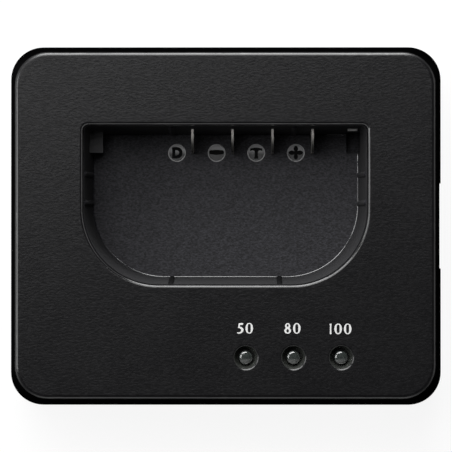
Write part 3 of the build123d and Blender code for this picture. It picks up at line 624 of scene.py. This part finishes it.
def lathe(name, profile, place, sides, material):
    """Turned piece from (radius, height) points in millimetres, from axis to axis or round a ring."""
    shape = bmesh.new()
    points = [shape.verts.new((radius * MM, 0.0, height * MM)) for radius, height in profile]
    edges = [shape.edges.new(pair) for pair in zip(points, points[1:])]
    if profile[0][0] > 0.0:
        edges.append(shape.edges.new((points[-1], points[0])))
    bmesh.ops.spin(shape, geom=points + edges, cent=(0.0, 0.0, 0.0), axis=(0.0, 0.0, 1.0),
                   angle=2 * math.pi, steps=sides)
    bmesh.ops.remove_doubles(shape, verts=shape.verts, dist=SAME_POINT)
    bmesh.ops.recalc_face_normals(shape, faces=shape.faces)
    mesh = bpy.data.meshes.new(name)
    shape.to_mesh(mesh)
    shape.free()
    mesh.shade_smooth()
    mesh.set_sharp_from_angle(angle=SHARP_ANGLE)
    piece = place_piece(name, mesh, place, material)
    piece.rotation_euler.z = math.pi / sides
    return piece


def lens_profile(flange, tall):
    """Flange, upright side and flat dome of a lens, from axis to axis."""
    profile = [(0.0, 0.0), (flange, 0.0), (flange, LENS_FLANGE), (LENS_RADIUS, LENS_FLANGE)]
    for step in range(LENS_STEPS + 1):
        turn = math.pi / 2 * step / LENS_STEPS
        profile.append((LENS_RADIUS * math.cos(turn), tall - LENS_RISE * (1.0 - math.sin(turn))))
    return profile


def bond_wire(name, place, material):
    """Fine wire from the die to the second lead."""
    curve = bpy.data.curves.new(name, "CURVE")
    curve.dimensions = "3D"
    curve.bevel_depth = WIRE_RADIUS * MM
    curve.use_fill_caps = True
    spline = curve.splines.new("NURBS")
    spline.points.add(len(WIRE) - 1)
    for point, (x, z) in zip(spline.points, WIRE):
        point.co = (x * MM, 0.0, z * MM, 1.0)
    spline.order_u = 3
    spline.use_endpoint_u = True
    place_piece(name, curve, place, material)


def make_lamps():
    """Clear domed lenses over a plated cup that holds the die."""
    resin = lens_resin()
    plated = mottled("lead_frame", (0.62, 0.64, 0.63), roughness=0.45, metallic=1.0, scale=900.0,
                     relief=0.001 * MM)
    chip = mottled("lamp_die", (0.05, 0.06, 0.055), roughness=0.35, scale=4000.0)
    lenses = []
    for node in LAMP_NAMES:
        low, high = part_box(node)
        middle = plan_middle(low, high)
        profile = lens_profile((high[0] - low[0]) / 2 / MM, (high[2] - low[2]) / MM)
        lens_name = node.replace("led", "lens")
        lens = lathe(lens_name, profile, (*middle, low[2]), LATHE_STEPS, resin)
        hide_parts(node)
        lenses.append(lens)
        cup_place = (*middle, high[2] - CUP_DEPTH * MM)
        lathe(node.replace("led", "cup"), CUP, cup_place, LATHE_STEPS, plated)
        lathe(node.replace("led", "die"), DIE, cup_place, DIE_SIDES, chip)
        bond_wire(node.replace("led", "bond_wire"), cup_place, plated)
    return lenses


def make_numerals():
    """Printed charge levels behind the lamps."""
    ink = mottled("legend_ink", (0.86, 0.86, 0.85), roughness=0.55, scale=2500.0, contrast=0.03,
                  relief=0.002 * MM)
    for text, from_lamp in NUMERALS.items():
        name = f"numeral_{text}"
        outlines = []
        width = -NUMERAL_GAP
        for character in text:
            outlines += moved(numeral(character), width + NUMERAL_GAP)
            width += NUMERAL_GAP + NUMERAL_WIDTHS[character]
        lamp = plan_middle(*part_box(f"led_{text}"))
        left = lamp[0] + from_lamp[0] - width * NUMERAL_HEIGHT / 2
        front = lamp[1] + from_lamp[1] - NUMERAL_HEIGHT / 2
        curve = flat_curve(name, outlines, NUMERAL_HEIGHT, INK)
        place_piece(name, curve, (left, front, cad_box[1].z), ink)


def make_marks():
    """Discs with sunk dark letters, in pale lips round the pocket floor's recesses; the lips'
    paleness is partly a painted highlight and the letters' dark floor is painted shade.
    """
    disc = mark_plastic()
    # Pale lip: pale grey plastic, partly a painted highlight of the rim catching light
    pale = mottled("mark_lip", (0.30, 0.30, 0.305), roughness=0.35, scale=MARK_SCALE)
    # Dark letter floor: painted shade in the sunk letters
    dark = mottled("mark_letter", (0.0055, 0.0055, 0.0058), roughness=0.70, gloss=0.05)
    rim = ring(0.0, 0.0, MARK_RADIUS, MARK_RADIUS)
    lip = []
    for step in range(MARK_LIP_STEPS):
        turn = 2 * math.pi * step / MARK_LIP_STEPS
        radius = MARK_LIP[0] + MARK_LIP_HALF[0] * math.cos(turn)
        lip.append((radius, MARK_LIP[1] + MARK_LIP_HALF[1] * math.sin(turn)))
    for terminal, letter in MARKS.items():
        low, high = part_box(f"contact_{terminal}")
        x = (low[0] + high[0]) / 2 + MARK_FROM_BLADE[0]
        place = Vector((x, low[1] + MARK_FROM_BLADE[1], MARK_FLOOR))
        lathe(f"mark_lip_{terminal}", lip, place, LATHE_STEPS, pale)
        for name, outlines, thickness, material in (
            (f"mark_{terminal}", [rim] + letter, MARK_THICKNESS, disc),
            (f"letter_{terminal}", letter, LETTER_THICKNESS, dark),
        ):
            curve = flat_curve(name, outlines, MM, thickness)
            raised = place + Vector((0.0, 0.0, thickness / 2))
            place_piece(name, curve, raised, material)


def make_stage():
    """Flat pale floor under the feet."""
    mesh = bpy.data.meshes.new("stage_floor")
    corners = [(x * FLOOR_HALF, y * FLOOR_HALF, 0.0) for x, y in ((-1, -1), (1, -1), (1, 1), (-1, 1))]
    mesh.from_pydata(corners, [], [(0, 1, 2, 3)])
    mesh.materials.append(floor_material())
    link("stage_floor", mesh)


def make_world():
    """Dim surround with a white backdrop, which mirrors see low down."""
    world = bpy.data.worlds.new("studio")
    world.use_nodes = True
    tree = world.node_tree
    path = add(tree, "ShaderNodeLightPath").outputs
    mirrored = maths(tree, "ADD", path["Is Glossy Ray"], path["Is Transmission Ray"], clamp=True)
    rise = split(tree, "Generated")["Z"]
    horizon = between(tree, rise, *HORIZON, WORLD_GREY, HORIZON_GLOW)
    strength = value_mix(tree, mirrored, WORLD_GREY, horizon)
    strength = value_mix(tree, path["Is Camera Ray"], strength, BACKDROP_GLOW)
    white = (1.0, 1.0, 1.0, 1.0)
    set_inputs(tree, tree.nodes["Background"], {"Color": white, "Strength": strength})
    bpy.context.scene.world = world


def leave_out(lamp, pieces):
    """Keeps a lamp's light off some pieces."""
    group = bpy.data.collections.new(f"{lamp.name}_leaves_out")
    for piece in pieces:
        group.objects.link(piece)
    for entry in group.collection_objects:
        entry.light_linking.link_state = "EXCLUDE"
    lamp.light_linking.receiver_collection = group


def make_lights(lenses):
    """Soft lamps, the key kept off the lenses."""
    for name, (place, size, power) in LAMPS.items():
        lamp = bpy.data.lights.new(name, "AREA")
        lamp.shape = "RECTANGLE"
        lamp.size, lamp.size_y = size
        lamp.energy = power
        thing = link(name, lamp)
        thing.location = place
        aim = Vector(LAMP_AIM) - Vector(place)
        thing.rotation_euler = aim.to_track_quat("-Z", "Y").to_euler()
        if name == "key":
            leave_out(thing, lenses)


def make_camera():
    """Long lens above the top face, turned so that the back is up in the picture."""
    top = cad_box[1].z
    camera = bpy.data.cameras.new("camera")
    camera.sensor_width = SENSOR
    camera.lens = SENSOR * CAMERA_RISE / (IMAGE_PIXELS * PIXEL)
    camera.clip_end = CLIP_END
    place = Vector((*CAMERA_OFFSET, top + CAMERA_RISE))
    backward = (place - Vector((*AIM_OFFSET, top))).normalized()
    right = Vector((0.0, 1.0, 0.0)).cross(backward).normalized()
    axes = Matrix((right, backward.cross(right), backward)).transposed()
    thing = link("camera", camera)
    thing.matrix_world = Matrix.Translation(place) @ axes.to_4x4()
    bpy.context.scene.camera = thing


def dress(material, *names):
    """Gives CAD nodes a finish."""
    for name in names:
        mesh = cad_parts[name].data
        mesh.materials.clear()
        mesh.materials.append(material)


def dress_outside():
    """Finishes of the CAD nodes that show."""
    dress(case_plastic(), "upper_shell", "lower_shell")
    dress(contact_nickel(), "contact_data", "contact_minus", "contact_temperature", "contact_plus")
    dress(mottled("foot_rubber", (0.020, 0.020, 0.021), roughness=0.75, relief=0.03 * MM),
          "foot_back_left", "foot_back_right", "foot_front_left", "foot_front_right")
    dress(mottled("inlet_black", (0.012, 0.012, 0.013), roughness=0.42), "inlet_housing")
    dress(mottled("pin_plating", (0.72, 0.70, 0.66), roughness=0.22, metallic=1.0), "inlet_pins")
    dress(mottled("screw_zinc", (0.50, 0.50, 0.49), roughness=0.38, metallic=1.0),
          "case_screws", "board_screws")


def dress_inside():
    """Finishes of the CAD nodes in the case."""
    dress(mottled("tinned_lead", (0.60, 0.60, 0.60), roughness=0.35, metallic=1.0), "led_leads")
    dress(mottled("holder_grey", (0.10, 0.10, 0.10), roughness=0.55), "led_holder", "contact_carrier")
    dress(mottled("board_green", (0.020, 0.085, 0.035), roughness=0.40), "main_board")
    dress(mottled("component_black", (0.015, 0.015, 0.016), roughness=0.45),
          "fuse", "bridge_rectifier", "switching_controller", "optocoupler", "output_diode",
          "charge_controller", "chip_parts", "transformer_bobbin")
    dress(mottled("capacitor_sleeve", (0.012, 0.014, 0.035), roughness=0.35),
          "bulk_capacitor", "output_capacitors")
    dress(mottled("film_yellow", (0.55, 0.36, 0.03), roughness=0.45), "x_capacitor")
    dress(mottled("ceramic_blue", (0.03, 0.12, 0.35), roughness=0.40), "y_capacitor")
    dress(mottled("ferrite_grey", (0.035, 0.035, 0.037), roughness=0.60),
          "line_choke_core", "transformer_core", "output_choke_core")
    dress(mottled("copper_enamel", (0.60, 0.24, 0.10), roughness=0.32, metallic=1.0, scale=1500.0),
          "line_choke_winding", "transformer_winding", "output_choke_winding")


dress_outside()
dress_inside()
lenses = make_lamps()
make_numerals()
make_marks()
make_stage()
make_world()
make_lights(lenses)
make_camera()
bpy.context.scene.view_settings.view_transform = "Standard"
